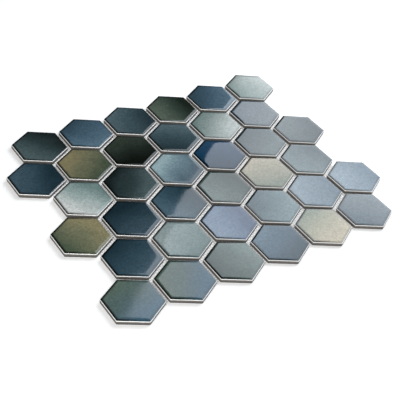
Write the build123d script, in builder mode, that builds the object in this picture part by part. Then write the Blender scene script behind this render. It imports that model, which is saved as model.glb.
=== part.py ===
"""Hexagon mosaic sheet: glazed ceramic hexagons in staggered rows, glued to a glass-fibre net.

Millimetres. The origin is under the middle of the sheet, on the underside of the net. The rows run
along X, the glazed faces look up +Z, and row 1 is the one at the greatest Y.
"""

import os
from math import cos, radians, tan

from build123d import *

# Sheet
row_count = 6
tiles_per_row = 6
joint_width = 3.77  # open grout joint between the sides of two neighbouring tiles

# Tile, pressed and fired in one piece, with its glaze on the face and the rolled edge
tile_across_flats = 50.4  # at its widest, where the rolled edge meets the side
tile_thickness = 4.8
tile_corner_radius = 1.0  # upright corners, seen from above
tile_side_draft = 2.0  # degrees, the sides lean in towards the back
rolled_edge_width = 4.1  # from the flat of the face out to the side
rolled_edge_fall = 0.7  # drop over that width

# Keys, shallow grooves pressed into the back for the glue and the mortar
key_width = 11.0
key_depth = 0.4
key_pitch = 19.0
key_margin = 4.0  # plain border left round the grooves

# Net, two bonded layers of flat strands on the backs of the tiles
net_mesh = 2.7  # from strand to strand
net_strand_width = 0.8
net_strand_thickness = 0.2
net_inset = 1.3  # from the hollows of the sheet's zigzag edges in to the net's own edge

# Lattice of regular hexagons, each with two sides square to its row
tile_pitch = tile_across_flats + joint_width
row_pitch = tile_pitch * cos(radians(30))
row_stagger = tile_pitch / 2
tile_corner_reach = tile_across_flats / 2 / cos(radians(30))

# Levels
tile_back_level = 2 * net_strand_thickness
tile_face_level = tile_back_level + tile_thickness
tile_edge_level = tile_face_level - rolled_edge_fall

# The rolled edge is an arc that leaves the flat of the face without a crease
rolled_edge_radius = (rolled_edge_width**2 + rolled_edge_fall**2) / (2 * rolled_edge_fall)
rolled_span = tile_across_flats + 2 * (rolled_edge_radius - rolled_edge_width)

# The grooves fill the back between its borders
side_lean = (tile_edge_level - tile_back_level) * tan(radians(tile_side_draft))
keyed_span = tile_across_flats - 2 * (side_lean + key_margin)
key_count = int((keyed_span - key_width) / key_pitch) + 1

# The net is cut inside the hollows between the tiles at the sheet's edge, along its own strands. Both
# counts are odd, so that a strand of each layer runs through the middle of the sheet.
net_room_x = (tiles_per_row - 1) * tile_pitch + tile_across_flats - row_stagger - 2 * net_inset
net_room_y = (row_count - 1) * row_pitch + tile_corner_reach - 2 * net_inset
cross_strand_count = 2 * int((net_room_x - net_strand_width) / net_mesh / 2) + 1
long_strand_count = 2 * int((net_room_y - net_strand_width) / net_mesh / 2) + 1
long_strand_length = (cross_strand_count - 1) * net_mesh + net_strand_width
cross_strand_length = (long_strand_count - 1) * net_mesh + net_strand_width


def tile_centre(row, column):
    """Middle of a tile, with rows counted from 0 at the greatest Y and columns from the least X."""
    shift = row_stagger / 2 if row % 2 == 0 else -row_stagger / 2
    x = (column - (tiles_per_row - 1) / 2) * tile_pitch + shift
    y = ((row_count - 1) / 2 - row) * row_pitch
    return x, y


# One tile, at the middle of the sheet
with BuildPart() as tile:
    # A hexagonal prism, drafted about the level where it is widest, with its corners rounded
    with BuildSketch(Plane.XY.offset(tile_back_level)):
        RegularPolygon(tile_across_flats / 2, 6, major_radius=False, rotation=30)
    extrude(amount=tile_thickness)
    draft(faces().group_by(Axis.Z)[1], Plane.XY.offset(tile_edge_level), -tile_side_draft)
    fillet(edges().group_by(Axis.Z)[1], tile_corner_radius)

    # The face rolls over towards each pair of opposite sides, with mitres at the corners
    for turn in (0, 60, 120):
        with BuildSketch(Plane.XZ.rotated((0, 0, turn))):
            with Locations((0, tile_face_level)):
                Rectangle(
                    rolled_span,
                    2 * (tile_thickness + rolled_edge_radius),
                    align=(Align.CENTER, Align.MAX),
                )
            fillet(vertices().group_by(Axis.Y)[-1], rolled_edge_radius)
        extrude(amount=2 * tile_corner_reach, both=True, mode=Mode.INTERSECT)

    # The keys end at a border that follows the sides
    with BuildSketch(Plane.XY.offset(tile_back_level)):
        with GridLocations(key_pitch, 0, key_count, 1):
            Rectangle(key_width, 2 * tile_corner_reach)
        RegularPolygon(keyed_span / 2, 6, major_radius=False, rotation=30, mode=Mode.INTERSECT)
    extrude(amount=key_depth, mode=Mode.SUBTRACT)

# Net: the long strands lie underneath, and the cross strands on them, against the tiles
with BuildPart() as long_strands:
    with BuildSketch():
        with GridLocations(0, net_mesh, 1, long_strand_count):
            Rectangle(long_strand_length, net_strand_width)
    extrude(amount=net_strand_thickness)

with BuildPart() as cross_strands:
    with BuildSketch(Plane.XY.offset(net_strand_thickness)):
        with GridLocations(net_mesh, 0, cross_strand_count, 1):
            Rectangle(net_strand_width, cross_strand_length)
    extrude(amount=net_strand_thickness)

# Files
os.makedirs("parts", exist_ok=True)

long_strands.part.label = "net_long_strands"
export_step(long_strands.part, "parts/net_long_strands.step")

cross_strands.part.label = "net_cross_strands"
export_step(cross_strands.part, "parts/net_cross_strands.step")

for row in range(row_count):
    for column in range(tiles_per_row):
        placed_tile = tile.part.moved(Location(tile_centre(row, column)))
        placed_tile.label = f"hex_tile_r{row + 1}_c{column + 1}"
        export_step(placed_tile, f"parts/{placed_tile.label}.step")
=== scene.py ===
"""Looks of the hexagon mosaic sheet: glazed tiles, woven net, studio light and camera.

Lengths are in metres, in the frame of the CAD model. Rows run along X, row 1 is at the greatest Y.
"""

import math
import random

import bmesh
import bpy
import numpy as np
from mathutils import Euler, Matrix, Vector, noise


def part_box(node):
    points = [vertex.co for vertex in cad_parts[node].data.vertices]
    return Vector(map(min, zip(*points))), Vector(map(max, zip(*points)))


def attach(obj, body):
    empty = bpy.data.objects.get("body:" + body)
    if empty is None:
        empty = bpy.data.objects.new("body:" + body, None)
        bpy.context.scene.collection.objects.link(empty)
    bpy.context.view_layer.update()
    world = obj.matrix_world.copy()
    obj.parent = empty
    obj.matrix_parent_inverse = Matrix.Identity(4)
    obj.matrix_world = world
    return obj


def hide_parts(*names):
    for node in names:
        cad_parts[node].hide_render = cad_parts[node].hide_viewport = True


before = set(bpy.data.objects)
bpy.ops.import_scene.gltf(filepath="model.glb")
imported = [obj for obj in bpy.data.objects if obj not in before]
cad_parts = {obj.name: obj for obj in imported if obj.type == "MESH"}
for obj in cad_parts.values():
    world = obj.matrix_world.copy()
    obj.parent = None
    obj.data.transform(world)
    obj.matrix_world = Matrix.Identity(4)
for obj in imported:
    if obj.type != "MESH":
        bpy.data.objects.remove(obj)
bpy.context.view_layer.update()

MM = 0.001
ROWS = 6
COLUMNS = 6
COS30 = math.cos(math.radians(30))
TAN30 = math.tan(math.radians(30))

# Sizes that the frame gives, less a clearance that keeps shifted and turned tiles inside the solids' box
EDGE_CLEARANCE = 0.08 * MM
tile_low, tile_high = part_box("hex_tile_r1_c1")
TILE_APOTHEM = (tile_high.x - tile_low.x) / 2 - EDGE_CLEARANCE
TILE_THICKNESS = tile_high.z - tile_low.z

# Tile profile
CORNER_RADIUS = 1.0 * MM
CORNER_SPREAD = 0.15  # growth of the corner radius with the distance in from the side
CORNER_LIMIT = 0.5  # largest corner radius, as a share of the apothem
SIDE_LEAN = 0.14 * MM
ROLL_WIDTH = 4.1 * MM
ROLL_FALL = 0.7 * MM
ARRIS_REACH = 0.85 * MM  # softening of the arris, inwards and down the side
BACK_EDGE_ROUND = 0.3 * MM
BACK_EDGE_MIDDLE = 0.3  # share of that rounding at the middle of its arc
SIDE_POINTS = 4  # points of the profile before the arris
FACE_CROWN = 0.10 * MM
FACE_SINK = 0.06 * MM  # keeps the highest ripple under the top of the solid
FACE_RIPPLE = 0.018 * MM
RIPPLE_LENGTH = 17 * MM

# Random departures of a tile from its place, and the ranges that the seeds of its noise are drawn from
RANDOM_SEED = 6
RIPPLE_SEEDS = 100
GLAZE_SEEDS = 50
TILT_DEGREES = 0.08
TURN_DEGREES = 0.08
SHIFT = 0.05 * MM

# Keys in the tile backs
KEY_WIDTH = 11.0 * MM
KEY_PITCH = 19.0 * MM
KEY_COUNT = 2
KEY_DEPTH = 0.4 * MM
KEY_SLOPE = 0.25 * MM
KEY_MARGIN = 4.0 * MM
KEY_APOTHEM = TILE_APOTHEM - SIDE_LEAN - KEY_MARGIN
SMOOTH_LEVEL = KEY_DEPTH * 1.5  # the flat faces of the back lie below this

# Net, with the height of its middle and the rise of a yarn over a crossing
NET_MESH = 2.7 * MM
YARN_WIDTH = 0.8 * MM
YARN_THICKNESS = 0.2 * MM
NET_MIDDLE = 0.2 * MM
NET_WAVE = 0.09 * MM

# Mesh fineness
CORNER_STEPS = 4
SIDE_STEPS = 10
ARRIS_STEPS = 5
ROLL_STEPS = 7
FACE_STEPS = 11
CENTRE_STEP = 0.6  # from the last ring to the middle of the face, in steps

# Three colours of each glaze, in the order in which it drifts across a tile, mostly from dark to pale
GLAZES = {
    "ink": ((0.010, 0.026, 0.036), (0.026, 0.056, 0.074), (0.052, 0.092, 0.118)),
    "ink_smoke": ((0.014, 0.027, 0.032), (0.033, 0.057, 0.066), (0.062, 0.094, 0.106)),
    "bottle": ((0.008, 0.014, 0.014), (0.028, 0.047, 0.050), (0.070, 0.105, 0.108)),
    "bottle_moss": ((0.008, 0.013, 0.009), (0.030, 0.046, 0.036), (0.075, 0.100, 0.075)),
    "slate": ((0.030, 0.060, 0.080), (0.055, 0.100, 0.138), (0.090, 0.150, 0.195)),
    "slate_mist": ((0.085, 0.120, 0.145), (0.130, 0.165, 0.185), (0.165, 0.200, 0.215)),
    "slate_deep": ((0.004, 0.030, 0.062), (0.007, 0.040, 0.085), (0.020, 0.058, 0.110)),
    "sage": ((0.040, 0.060, 0.055), (0.075, 0.105, 0.098), (0.120, 0.160, 0.150)),
    "sage_blue": ((0.060, 0.088, 0.095), (0.100, 0.135, 0.142), (0.145, 0.190, 0.195)),
    "sage_tide": ((0.088, 0.130, 0.104), (0.074, 0.116, 0.118), (0.052, 0.112, 0.160)),
    "sage_steel": ((0.070, 0.105, 0.120), (0.115, 0.165, 0.180), (0.165, 0.225, 0.240)),
    "sky": ((0.120, 0.175, 0.220), (0.190, 0.255, 0.300), (0.260, 0.330, 0.380)),
    "sky_lagoon": ((0.030, 0.065, 0.090), (0.140, 0.210, 0.240), (0.270, 0.370, 0.390)),
    "sky_iris": ((0.080, 0.115, 0.180), (0.125, 0.175, 0.250), (0.175, 0.235, 0.310)),
    "celadon": ((0.180, 0.260, 0.240), (0.310, 0.380, 0.350), (0.480, 0.530, 0.500)),
    "celadon_frost": ((0.140, 0.210, 0.200), (0.310, 0.385, 0.365), (0.570, 0.595, 0.570)),
    "celadon_rain": ((0.100, 0.155, 0.150), (0.165, 0.225, 0.225), (0.240, 0.290, 0.285)),
    "olive": ((0.056, 0.076, 0.048), (0.130, 0.135, 0.080), (0.215, 0.188, 0.102)),
    "sand": ((0.250, 0.285, 0.225), (0.370, 0.360, 0.272), (0.500, 0.445, 0.335)),
}
RIM_COLOUR = (0.96, 0.96, 0.94, 1.0)
# Bare sides: colour partly of the body and partly painted shade; the foot colour is painted shade
WALL_BODY_AND_SHADE_COLOUR = (0.130, 0.117, 0.102, 1.0)
FOOT_SHADE_COLOUR = (0.05, 0.046, 0.042, 1.0)
BACK_COLOUR = (0.24, 0.22, 0.19, 1.0)

# Bands over the edge of a tile, in millimetres from the arris, below nought down the side
# The first two bands darken the glaze inside the arris: partly pooled glaze, partly painted shade
POOL_AND_SHADE_START = 3.8
POOL_AND_SHADE_FULL = 1.3
RIM_START = 0.62
RIM_FULL = 0.32
BARE_START = -0.1
BARE_FULL = -0.4
# Below this the painted shade at the foot of the sides is full
FOOT_SHADE_LEVEL = -4.0
BACK_START = -4.4
BACK_FULL = -5.5
BACK_LEVEL = -20.0  # for the keys, which lie beyond the profile

# The edges darken most on one side, in degrees from +X: partly glaze that has run and pooled there,
# partly painted shade for the dark reflection that the rolled edges show on those sides. The darkening
# is full where the cosine of the angle from that direction is over the turn, and least under its negative.
POOL_AND_SHADE_DIRECTION = 150
POOL_AND_SHADE_TURN = 0.6
POOL_AND_SHADE_DEEPEST = 0.05
POOL_AND_SHADE_LEAST = 0.75

# Look of the glaze and the bare body, with noise in cells to the metre
NOISE_LOW = 0.3
NOISE_MIDDLE = 0.5
NOISE_HIGH = 0.7
SEED_Y_SHARE = 0.37
DRIFT_CELLS = 38
DRIFT_BEND = 0.45
DRIFT_SHIFT = 0.28
DRIFT_STOPS = (0.12, 0.5, 0.9)
MOTTLE_CELLS = 520
MOTTLE_ROUGHNESS = 0.65
MOTTLE_SHADES = (0.82, 1.18)
SPECK_CELLS = 1700
SPECK_BAND = (0.60, 0.72)
SPECK_STRENGTH = 0.35
RAGGED_CELLS = 260
RAGGED_REACH = 0.3
GRIT_CELLS = 2600
GRIT_SHADES = (0.75, 1.2)
PEEL_CELLS = 420
PEEL_HEIGHT = 0.12
TILE_BUMP = 0.10
BUMP_DEPTH = 0.05 * MM
GLAZE_IOR = 1.52
GLAZE_SPECULAR = 0.25
RIM_SPECULAR = 0.9
BARE_ROUGHNESS = 0.75

# Look of the yarn
YARN_GREY = (0.84, 0.84, 0.82)
YARN_WHITE = (0.93, 0.93, 0.91)
YARN_ROUGHNESS = 0.55
YARN_BUMP = 0.4
CLOUD_CELLS = 180
FIBRE_CELLS = 3200
FIBRE_SHADES = (0.85, 1.05)

# Glaze of each tile, the direction in degrees from +X in which it drifts, and a shade for its colours
LAYOUT = (
    (
        ("bottle", 215, 1.0),
        ("slate", 275, 1.0),
        ("ink_smoke", 160, 1.2),
        ("bottle_moss", 180, 1.05),
        ("slate", 330, 0.9),
        ("celadon", 20, 0.75),
    ),
    (
        ("ink", 167, 0.95),
        ("olive", 140, 0.95),
        ("bottle_moss", 90, 0.4),
        ("ink_smoke", 60, 1.18),
        ("celadon", 325, 0.7),
        ("slate_mist", 307, 0.78),
    ),
    (
        ("celadon_frost", 205, 0.99),
        ("bottle", 318, 0.85),
        ("sky_lagoon", 125, 1.0),
        ("slate_deep", 60, 0.9),
        ("sage_blue", 300, 0.79),
        ("sage_blue", 150, 0.75),
    ),
    (
        ("olive", 20, 1.15),
        ("ink", 280, 0.75),
        ("ink", 200, 1.2),
        ("sage", 200, 0.95),
        ("sand", 80, 0.72),
        ("sage_blue", 200, 1.1),
    ),
    (
        ("ink", 300, 1.0),
        ("celadon_rain", 130, 1.0),
        ("sky_iris", 180, 0.98),
        ("sage_steel", 320, 1.0),
        ("sky", 165, 0.84),
        ("sky", 180, 0.9),
    ),
    (
        ("sage_tide", 290, 0.98),
        ("sage_tide", 330, 0.93),
        ("sage", 20, 1.2),
        ("slate", 120, 0.95),
        ("sand", 290, 0.9),
        ("slate_mist", 40, 1.0),
    ),
)

# Roughness of the glaze, and of the tiles that came out less glossy, by row and column from nought
GLOSS_ROUGHNESS = 0.03
SATIN_TILES = {
    (0, 5): 0.16,
    (1, 4): 0.16,
    (2, 2): 0.12,
    (2, 3): 0.04,
    (3, 2): 0.05,
    (4, 0): 0.05,
    (4, 1): 0.07,
    (5, 0): 0.09,
}

# Faces that are out of level, by row and column from nought: the way they fall and how much, in degrees
NO_LEAN = (0, 0)
FACE_LEANS = {(0, 4): (131, 0.75), (2, 2): (131, 0.65), (2, 3): (131, 0.22), (4, 0): (131, 0.7)}


def tile_node(row, column):
    return f"hex_tile_r{row + 1}_c{column + 1}"


# Tile mesh


def hexagon_ring(apothem, corner_radius):
    """Points round a hexagon with rounded corners and two sides square to X, anticlockwise."""
    reach = (apothem - corner_radius) / COS30
    arcs = []
    for corner in range(6):
        direction = math.radians(30 + 60 * corner)
        centre = Vector((math.cos(direction), math.sin(direction))) * reach
        arc = []
        for step in range(CORNER_STEPS + 1):
            turn = direction + math.radians(60 * step / CORNER_STEPS - 30)
            arc.append(centre + Vector((math.cos(turn), math.sin(turn))) * corner_radius)
        arcs.append(arc)
    points = []
    for corner, arc in enumerate(arcs):
        following = arcs[(corner + 1) % 6][0]
        points.extend(arc)
        for step in range(1, SIDE_STEPS):
            points.append(arc[-1].lerp(following, step / SIDE_STEPS))
    return points


def roll_drop(inset):
    """Fall of the rolled edge below the face, at a distance in from the side."""
    radius = (ROLL_WIDTH**2 + ROLL_FALL**2) / (2 * ROLL_FALL)
    return radius - math.sqrt(radius**2 - max(ROLL_WIDTH - inset, 0) ** 2)


def tile_profile():
    """(distance in from the side, height above the back) from the back edge up to the middle."""
    edge_height = TILE_THICKNESS - ROLL_FALL
    wall_top = edge_height - ARRIS_REACH
    points = [
        (SIDE_LEAN + BACK_EDGE_ROUND, 0),
        (SIDE_LEAN + BACK_EDGE_ROUND * BACK_EDGE_MIDDLE, BACK_EDGE_ROUND * BACK_EDGE_MIDDLE),
        (SIDE_LEAN, BACK_EDGE_ROUND),
        (SIDE_LEAN / 2, wall_top / 2),
    ]
    inner = (ARRIS_REACH, TILE_THICKNESS - roll_drop(ARRIS_REACH))
    for step in range(ARRIS_STEPS + 1):
        way = step / ARRIS_STEPS
        inset = way**2 * inner[0]
        height = (1 - way) ** 2 * wall_top + 2 * way * (1 - way) * edge_height + way**2 * inner[1]
        points.append((inset, height))
    for step in range(1, ROLL_STEPS + 1):
        inset = ARRIS_REACH + (ROLL_WIDTH - ARRIS_REACH) * step / ROLL_STEPS
        points.append((inset, TILE_THICKNESS - roll_drop(inset)))
    for step in range(1, FACE_STEPS + 1):
        share = step / (FACE_STEPS + CENTRE_STEP)
        points.append((ROLL_WIDTH + (TILE_APOTHEM - ROLL_WIDTH) * share, TILE_THICKNESS))
    return points


def edge_distances(profile):
    """Distance along the profile from the arris in millimetres, below nought down the side."""
    lengths = [0.0]
    for (inset_a, height_a), (inset_b, height_b) in zip(profile, profile[1:]):
        lengths.append(lengths[-1] + math.hypot(inset_b - inset_a, height_b - height_a))
    arris = lengths[SIDE_POINTS + ARRIS_STEPS // 2]
    return [(length - arris) / MM for length in lengths]


def key_outlines():
    """Corners of the grooves in a tile's back, anticlockwise from above."""
    outlines = []
    reach = KEY_APOTHEM / COS30
    for index in range(KEY_COUNT):
        middle = (index - (KEY_COUNT - 1) / 2) * KEY_PITCH
        low, high = middle - KEY_WIDTH / 2, middle + KEY_WIDTH / 2
        low_y = reach - abs(low) * TAN30
        high_y = reach - abs(high) * TAN30
        outlines.append(((low, -low_y), (high, -high_y), (high, high_y), (low, low_y)))
    return outlines


def loop_edges(bm, loop):
    return [bm.edges.get((a, b)) or bm.edges.new((a, b)) for a, b in zip(loop, loop[1:] + loop[:1])]


def add_back(bm, outline):
    """Closes the back inside an outline, with the keys sunk into it."""
    edges = loop_edges(bm, outline)
    for corners in key_outlines():
        middle = sum((Vector(c) for c in corners), Vector((0, 0))) / len(corners)
        mouth = [bm.verts.new((x, y, 0)) for x, y in corners]
        floor = []
        for corner in corners:
            inward = (middle - Vector(corner)).normalized() * KEY_SLOPE
            x, y = Vector(corner) + inward
            floor.append(bm.verts.new((x, y, KEY_DEPTH)))
        for index in range(len(mouth)):
            after = (index + 1) % len(mouth)
            bm.faces.new((mouth[index], mouth[after], floor[after], floor[index]))
        bm.faces.new(floor)
        edges += loop_edges(bm, mouth)
    bmesh.ops.triangle_fill(bm, use_beauty=True, edges=edges)


def tile_master():
    """One tile about its own middle, with its back at nought and a flat face."""
    profile = tile_profile()
    distances = edge_distances(profile)
    bm = bmesh.new()
    distance_layer = bm.verts.layers.float.new("edge_distance")
    rings = []
    for (inset, height), distance in zip(profile, distances):
        corner_radius = CORNER_RADIUS + CORNER_SPREAD * min(inset, ROLL_WIDTH)
        apothem = TILE_APOTHEM - inset
        ring = []
        for x, y in hexagon_ring(apothem, min(corner_radius, apothem * CORNER_LIMIT)):
            vert = bm.verts.new((x, y, height))
            vert[distance_layer] = distance
            ring.append(vert)
        rings.append(ring)
    count = len(rings[0])
    for lower, upper in zip(rings, rings[1:]):
        for index in range(count):
            after = (index + 1) % count
            bm.faces.new((lower[index], lower[after], upper[after], upper[index]))
    crown = bm.verts.new((0, 0, TILE_THICKNESS))
    crown[distance_layer] = TILE_APOTHEM / MM
    for index in range(count):
        bm.faces.new((rings[-1][index], rings[-1][(index + 1) % count], crown))
    add_back(bm, rings[0])
    for vert in bm.verts:
        if vert.co.z <= KEY_DEPTH and vert[distance_layer] == 0:
            vert[distance_layer] = BACK_LEVEL
    bmesh.ops.recalc_face_normals(bm, faces=bm.faces)
    for face in bm.faces:
        face.smooth = face.calc_center_median().z > SMOOTH_LEVEL
    mesh = bpy.data.meshes.new("tile_master")
    bm.to_mesh(mesh)
    bm.free()
    return mesh


def crown_and_ripple(mesh, lean, seed):
    """Lets the glazed face fall away from its middle, with slow ripples and a lean of its own."""
    corner_reach = (TILE_APOTHEM - ROLL_WIDTH) / COS30
    direction, degrees = lean
    slope = math.tan(math.radians(degrees))
    downhill = Vector((math.cos(math.radians(direction)), math.sin(math.radians(direction)))) * slope
    distances = mesh.attributes["edge_distance"].data
    for vert in mesh.vertices:
        share = min(max(distances[vert.index].value * MM / ROLL_WIDTH, 0), 1)
        if share == 0:
            continue
        weight = 1 - (1 - share) ** 2
        spot = Vector((vert.co.x / RIPPLE_LENGTH, vert.co.y / RIPPLE_LENGTH, seed))
        outward = min(math.hypot(vert.co.x, vert.co.y) / corner_reach, 1)
        fall = FACE_SINK + FACE_CROWN * outward**3 + FACE_RIPPLE * (1 + noise.noise(spot))
        fall += slope * corner_reach + downhill.dot(vert.co.xy)
        vert.co.z -= weight * fall


def add_tile(master, row, column, rng):
    """A finished tile in place of its CAD node, a hair out of true as hand-set tiles are."""
    node = tile_node(row, column)
    low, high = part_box(node)
    mesh = master.copy()
    mesh.name = f"tile_r{row + 1}_c{column + 1}"
    crown_and_ripple(mesh, FACE_LEANS.get((row, column), NO_LEAN), rng.uniform(0, RIPPLE_SEEDS))
    tile = bpy.data.objects.new(mesh.name, mesh)
    bpy.context.scene.collection.objects.link(tile)
    middle = (low + high) / 2
    shift = Vector((rng.uniform(-SHIFT, SHIFT), rng.uniform(-SHIFT, SHIFT), 0))
    tile.location = Vector((middle.x, middle.y, low.z)) + shift
    tilts = [math.radians(rng.uniform(-TILT_DEGREES, TILT_DEGREES)) for _ in range(2)]
    tile.rotation_euler = Euler((*tilts, math.radians(rng.uniform(-TURN_DEGREES, TURN_DEGREES))))
    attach(tile, "root")
    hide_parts(node)
    return tile


# Materials


class Shader:
    """A material's node tree, with short calls to add nodes and join them."""

    def __init__(self, name):
        self.material = bpy.data.materials.new(name)
        self.material.use_nodes = True
        self.tree = self.material.node_tree
        self.bsdf = self.tree.nodes["Principled BSDF"]

    def node(self, kind, inputs=None, **settings):
        made = self.tree.nodes.new(kind)
        for name, value in settings.items():
            setattr(made, name, value)
        for key, value in (inputs or {}).items():
            self.put(made.inputs[key], value)
        return made

    def put(self, socket, value):
        if isinstance(value, bpy.types.NodeSocket):
            self.tree.links.new(value, socket)
        else:
            socket.default_value = value

    def set(self, **inputs):
        for name, value in inputs.items():
            self.put(self.bsdf.inputs[name.replace("_", " ")], value)

    def math(self, operation, *values, clamp=False):
        inputs = dict(enumerate(values))
        return self.node("ShaderNodeMath", inputs, operation=operation, use_clamp=clamp).outputs[0]

    def spread(self, value, low, high, to_low=0.0, to_high=1.0):
        """A value taken smoothly from one range to another."""
        inputs = {"Value": value, "From Min": low, "From Max": high, "To Min": to_low, "To Max": to_high}
        return self.node("ShaderNodeMapRange", inputs, interpolation_type="SMOOTHSTEP").outputs["Result"]

    def mix(self, factor, first, second, blend="MIX"):
        """Two colours mixed. A mix node's colour sockets are its inputs 6 and 7 and its output 2."""
        made = self.node("ShaderNodeMix", data_type="RGBA", blend_type=blend)
        self.put(made.inputs[0], factor)
        self.put(made.inputs[6], first)
        self.put(made.inputs[7], second)
        return made.outputs[2]

    def noise(self, vector, scale, detail=2.0, roughness=0.5):
        inputs = {"Vector": vector, "Scale": scale, "Detail": detail, "Roughness": roughness}
        return self.node("ShaderNodeTexNoise", inputs).outputs[0]

    def ramp(self, factor, stops):
        made = self.node("ShaderNodeValToRGB", {"Fac": factor})
        elements = made.color_ramp.elements
        # New stops go between the two that a ramp starts with
        while len(elements) < len(stops):
            elements.new(0.5)
        for element, (position, colour) in zip(elements, stops):
            element.position = position
            element.color = (*colour[:3], 1)
        return made.outputs["Color"]


def glaze_material(name, glaze, direction, shade, roughness, seed):
    """A glossy variegated glaze that breaks to white at the arris, on a plain fired body; painted shade
    darkens the glaze inside the arris and the bare sides.
    """
    first, middle, last = (tuple(shade * part for part in colour) for colour in GLAZES[glaze])
    shader = Shader(name)
    place = shader.node("ShaderNodeTexCoord").outputs["Object"]
    offset = (seed, seed * SEED_Y_SHARE, 0)
    spot = shader.node("ShaderNodeVectorMath", {0: place, 1: offset}, operation="ADD").outputs[0]
    distance = shader.node("ShaderNodeAttribute", attribute_name="edge_distance").outputs["Fac"]

    # Drift of the colour across the tile, bent by slow noise
    drift_turn = math.radians(direction)
    span = 2 * TILE_APOTHEM
    drift_heading = (math.cos(drift_turn) / span, math.sin(drift_turn) / span, 0)
    along = shader.node("ShaderNodeVectorMath", {0: place, 1: drift_heading}, operation="DOT_PRODUCT")
    slow = shader.noise(spot, DRIFT_CELLS)
    bent = shader.math("ADD", along.outputs["Value"], shader.math("MULTIPLY", slow, DRIFT_BEND))
    drift = shader.math("ADD", bent, DRIFT_SHIFT)
    colour = shader.ramp(drift, tuple(zip(DRIFT_STOPS, (first, middle, last))))

    # Mottling and fine specks in the glaze
    mottle = shader.noise(spot, MOTTLE_CELLS, detail=3, roughness=MOTTLE_ROUGHNESS)
    light = shader.spread(mottle, NOISE_LOW, NOISE_HIGH, *MOTTLE_SHADES)
    colour = shader.mix(1.0, colour, light, blend="MULTIPLY")
    specks = shader.noise(spot, SPECK_CELLS, detail=1)
    dark = shader.spread(specks, *SPECK_BAND, 0.0, SPECK_STRENGTH)
    colour = shader.mix(dark, colour, (*first, 1))

    # Inside the arris the glaze darkens, partly as pooled glaze and partly as painted shade for the dark
    # reflection in the rolled edge; it thins over the arris and ends a little way down the side
    uneven = shader.math("SUBTRACT", shader.noise(spot, RAGGED_CELLS), NOISE_MIDDLE)
    wobble = shader.math("MULTIPLY", uneven, RAGGED_REACH)
    ragged = shader.math("ADD", distance, wobble)
    pool_and_shade_turn = math.radians(POOL_AND_SHADE_DIRECTION)
    pool_and_shade_heading = (math.cos(pool_and_shade_turn), math.sin(pool_and_shade_turn), 0)
    outward = shader.node("ShaderNodeVectorMath", {0: place}, operation="NORMALIZE").outputs[0]
    facing = shader.node("ShaderNodeVectorMath", {0: outward, 1: pool_and_shade_heading}, operation="DOT_PRODUCT")
    turned = facing.outputs["Value"]
    pool_and_shade_depth = shader.spread(turned, -POOL_AND_SHADE_TURN, POOL_AND_SHADE_TURN, POOL_AND_SHADE_LEAST, POOL_AND_SHADE_DEEPEST)
    pool_and_shade = shader.spread(ragged, POOL_AND_SHADE_START, POOL_AND_SHADE_FULL, 1.0, pool_and_shade_depth)
    colour = shader.mix(1.0, colour, pool_and_shade, blend="MULTIPLY")
    rim = shader.spread(ragged, RIM_START, RIM_FULL)
    colour = shader.mix(rim, colour, RIM_COLOUR)

    # The bare body, its sides coloured partly by painted shade, darkens with painted shade towards its foot
    # and is paler on the back
    bare = shader.spread(ragged, BARE_START, BARE_FULL)
    grit = shader.noise(spot, GRIT_CELLS, detail=3)
    # Painted shade, deepest at the foot of the side
    foot_shade = shader.spread(distance, BARE_FULL, FOOT_SHADE_LEVEL)
    body = shader.mix(foot_shade, WALL_BODY_AND_SHADE_COLOUR, FOOT_SHADE_COLOUR)
    body = shader.mix(shader.spread(distance, BACK_START, BACK_FULL), body, BACK_COLOUR)
    body = shader.mix(1.0, body, shader.spread(grit, NOISE_LOW, NOISE_HIGH, *GRIT_SHADES), blend="MULTIPLY")
    colour = shader.mix(bare, colour, body)
    shader.set(Base_Color=colour, IOR=GLAZE_IOR)
    shader.set(Specular_IOR_Level=shader.spread(rim, 0.0, 1.0, GLAZE_SPECULAR, RIM_SPECULAR))
    shader.set(Roughness=shader.spread(bare, 0.0, 1.0, roughness, BARE_ROUGHNESS))

    # Orange peel on the glaze, grain on the bare body
    peel = shader.math("MULTIPLY", shader.noise(spot, PEEL_CELLS, detail=1), PEEL_HEIGHT)
    grain = shader.math("MULTIPLY", grit, bare)
    height = shader.math("ADD", peel, grain)
    bump = shader.node("ShaderNodeBump", {"Height": height, "Strength": TILE_BUMP, "Distance": BUMP_DEPTH})
    shader.set(Normal=bump.outputs["Normal"])
    return shader.material


def net_material():
    """White coated glass-fibre yarn."""
    shader = Shader("net_yarn")
    place = shader.node("ShaderNodeTexCoord").outputs["Object"]
    cloud = shader.noise(place, CLOUD_CELLS, detail=3)
    fibre = shader.noise(place, FIBRE_CELLS, detail=2)
    tint = shader.ramp(cloud, ((NOISE_LOW, YARN_GREY), (NOISE_HIGH, YARN_WHITE)))
    shade = shader.spread(fibre, NOISE_LOW, NOISE_HIGH, *FIBRE_SHADES)
    shader.set(Base_Color=shader.mix(1.0, tint, shade, blend="MULTIPLY"), Roughness=YARN_ROUGHNESS)
    bump = shader.node("ShaderNodeBump", {"Height": fibre, "Strength": YARN_BUMP, "Distance": BUMP_DEPTH})
    shader.set(Normal=bump.outputs["Normal"])
    return shader.material


def floor_material():
    """Plain white studio floor."""
    shader = Shader("studio_floor")
    shader.set(Base_Color=FLOOR_COLOUR, Roughness=FLOOR_ROUGHNESS)
    shader.set(Emission_Color=FLOOR_GLOW_COLOUR, Emission_Strength=FLOOR_GLOW)
    return shader.material


# Net


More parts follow.
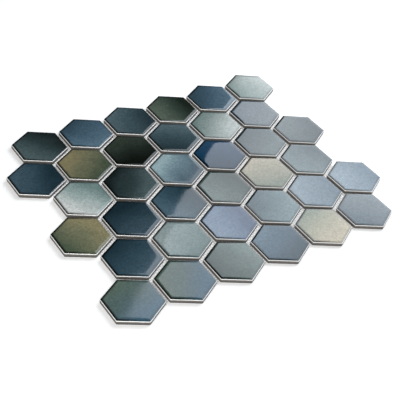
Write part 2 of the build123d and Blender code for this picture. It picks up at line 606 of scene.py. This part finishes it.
def strand_mesh(name, length, stops, offsets, along_x):
    """Flat yarns that pass over and under the crossing yarns at each stop."""
    steps = 2 * len(stops) - 1
    places = np.interp(np.arange(steps) / 2, np.arange(len(stops)), stops)
    places = np.concatenate(([-length / 2], places, [length / 2]))
    waves = np.zeros(steps)
    waves[::2] = np.where(np.arange(len(stops)) % 2 == 0, 1, -1)
    waves = np.concatenate((waves[:1], waves, waves[-1:]))
    # The section is a diamond
    across = np.array((-0.5, 0, 0.5, 0)) * YARN_WIDTH
    raised = np.array((0, 0.5, 0, -0.5)) * YARN_THICKNESS
    corners = len(across)
    verts = []
    faces = []
    for index, offset in enumerate(offsets):
        sign = 1 if (index % 2 == 0) == along_x else -1
        level = NET_MIDDLE + sign * NET_WAVE * waves
        first = len(verts)
        for place, height in zip(places, level):
            for side, lift in zip(across, raised):
                flat = (place, offset + side) if along_x else (offset + side, place)
                verts.append((*flat, height + lift))
        for step in range(len(places) - 1):
            here = first + corners * step
            ahead = here + corners
            for corner in range(corners):
                after = (corner + 1) % corners
                faces.append((here + corner, here + after, ahead + after, ahead + corner))
        faces.append(tuple(range(first, first + corners)))
        faces.append(tuple(range(len(verts) - corners, len(verts))))
    mesh = bpy.data.meshes.new(name)
    mesh.from_pydata(verts, [], faces)
    mesh.polygons.foreach_set("use_smooth", [True] * len(faces))
    bm = bmesh.new()
    bm.from_mesh(mesh)
    bmesh.ops.recalc_face_normals(bm, faces=bm.faces)
    bm.to_mesh(mesh)
    bm.free()
    return mesh


def add_net():
    """The woven net in place of the two layers of flat strands."""
    yarn = net_material()
    long_low, long_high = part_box("net_long_strands")
    width = long_high.x - long_low.x
    depth = long_high.y - long_low.y
    x_stops = np.arange(long_low.x + YARN_WIDTH / 2, long_high.x, NET_MESH)
    y_stops = np.arange(long_low.y + YARN_WIDTH / 2, long_high.y, NET_MESH)
    for name, node, length, stops, offsets in (
        ("yarns_long", "net_long_strands", width, x_stops, y_stops),
        ("yarns_cross", "net_cross_strands", depth, y_stops, x_stops),
    ):
        mesh = strand_mesh(name, length, stops, offsets, node == "net_long_strands")
        mesh.materials.append(yarn)
        yarns = bpy.data.objects.new(name, mesh)
        bpy.context.scene.collection.objects.link(yarns)
        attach(yarns, "root")
        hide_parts(node)


# Studio

# The camera, with its focal length in pixels of a picture that is 400 wide
CAMERA_AZIMUTH = math.radians(-38.927)
CAMERA_ELEVATION = math.radians(39.172)
CAMERA_ROLL = math.radians(7.969)
CAMERA_TARGET = Vector((-17.1, -26.08, 0.4)) * MM
CAMERA_DISTANCE = 923.6 * MM
CAMERA_CLIP = 0.01
FOCAL_PIXELS = 926.4
PICTURE_PIXELS = 400
SENSOR_WIDTH = 36

# Floor and surroundings
FLOOR_SIZE = 24.0
FLOOR_COLOUR = (0.98, 0.975, 0.965, 1)
FLOOR_ROUGHNESS = 0.9
FLOOR_GLOW_COLOUR = (1, 1, 1, 1)
FLOOR_GLOW = 0.13
WORLD_COLOUR = (0.05, 0.05, 0.05, 1)

# The key light stands behind the sheet on the right. Its leaning left edge shows in the glaze.
KEY_EDGE = Vector((0.517, 0.709, 0.770))
KEY_LEAN = Vector((-0.760, -0.534, 0.371))
KEY_WIDE = Vector((0.634, -0.734, 0.242))
KEY_SIZE = (2.0, 1.4)
KEY_DROP = 0.37  # of its middle below KEY_EDGE, along the lean
KEY_RADIANCE = 4.4
KEY_COLOUR = (0.95, 1.0, 1.07)

# The fill light stands behind the camera, a little to its left, and lights the near sides of the tiles
FILL_PLACE = Vector((-1.01, -0.91, 1.14))
FILL_ACROSS = Vector((0.67, -0.74, 0))
FILL_UPWARD = Vector((0.48, 0.43, 0.77))
FILL_SIZE = (1.4, 1.4)
FILL_RADIANCE = 4.4
FILL_COLOUR = (1.0, 1.0, 1.0)


def camera_axes():
    """Right, up and back of the camera."""
    across = math.cos(CAMERA_AZIMUTH)
    along = math.sin(CAMERA_AZIMUTH)
    reach = math.cos(CAMERA_ELEVATION)
    back = Vector((along * reach, -across * reach, math.sin(CAMERA_ELEVATION)))
    level = Vector((across, along, 0))
    roll = Matrix.Rotation(CAMERA_ROLL, 3, back)
    right = roll @ level
    return right, back.cross(right), back


def add_camera():
    right, up, back = camera_axes()
    data = bpy.data.cameras.new("camera")
    data.lens = FOCAL_PIXELS * SENSOR_WIDTH / PICTURE_PIXELS
    data.sensor_width = SENSOR_WIDTH
    data.clip_start = CAMERA_CLIP
    camera = bpy.data.objects.new("camera", data)
    turn = Matrix((right, up, back)).transposed().to_4x4()
    camera.matrix_world = Matrix.Translation(CAMERA_TARGET + back * CAMERA_DISTANCE) @ turn
    bpy.context.scene.collection.objects.link(camera)
    bpy.context.scene.camera = camera


def add_softbox(name, place, across, upward, size, radiance, colour):
    """A flat rectangular light, with its width and height along two given directions."""
    data = bpy.data.lights.new(name, "AREA")
    data.shape = "RECTANGLE"
    data.size, data.size_y = size
    data.energy = radiance * math.pi * size[0] * size[1]
    data.color = colour
    light = bpy.data.objects.new(name, data)
    across = across.normalized()
    away = across.cross(upward).normalized()
    turn = Matrix((across, away.cross(across), away)).transposed().to_4x4()
    light.matrix_world = Matrix.Translation(place) @ turn
    bpy.context.scene.collection.objects.link(light)


def add_studio():
    bpy.ops.mesh.primitive_plane_add(size=FLOOR_SIZE)
    floor = bpy.context.object
    floor.name = "studio_floor"
    floor.data.materials.append(floor_material())
    place = KEY_EDGE + KEY_WIDE * (KEY_SIZE[0] / 2) - KEY_LEAN * KEY_DROP
    add_softbox("softbox_key", place, -KEY_WIDE, KEY_LEAN, KEY_SIZE, KEY_RADIANCE, KEY_COLOUR)
    add_softbox("softbox_fill", FILL_PLACE, FILL_ACROSS, FILL_UPWARD, FILL_SIZE, FILL_RADIANCE, FILL_COLOUR)
    world = bpy.data.worlds.new("studio")
    world.use_nodes = True
    world.node_tree.nodes["Background"].inputs["Color"].default_value = WORLD_COLOUR
    bpy.context.scene.world = world
    bpy.context.scene.view_settings.view_transform = "Standard"


# The sheet in its studio

rng = random.Random(RANDOM_SEED)
master = tile_master()
for row in range(ROWS):
    for column in range(COLUMNS):
        glaze, direction, shade = LAYOUT[row][column]
        tile = add_tile(master, row, column, rng)
        roughness = SATIN_TILES.get((row, column), GLOSS_ROUGHNESS)
        seed = rng.uniform(0, GLAZE_SEEDS)
        tile.data.materials.append(glaze_material(tile.name, glaze, direction, shade, roughness, seed))
bpy.data.meshes.remove(master)
add_net()
add_camera()
add_studio()
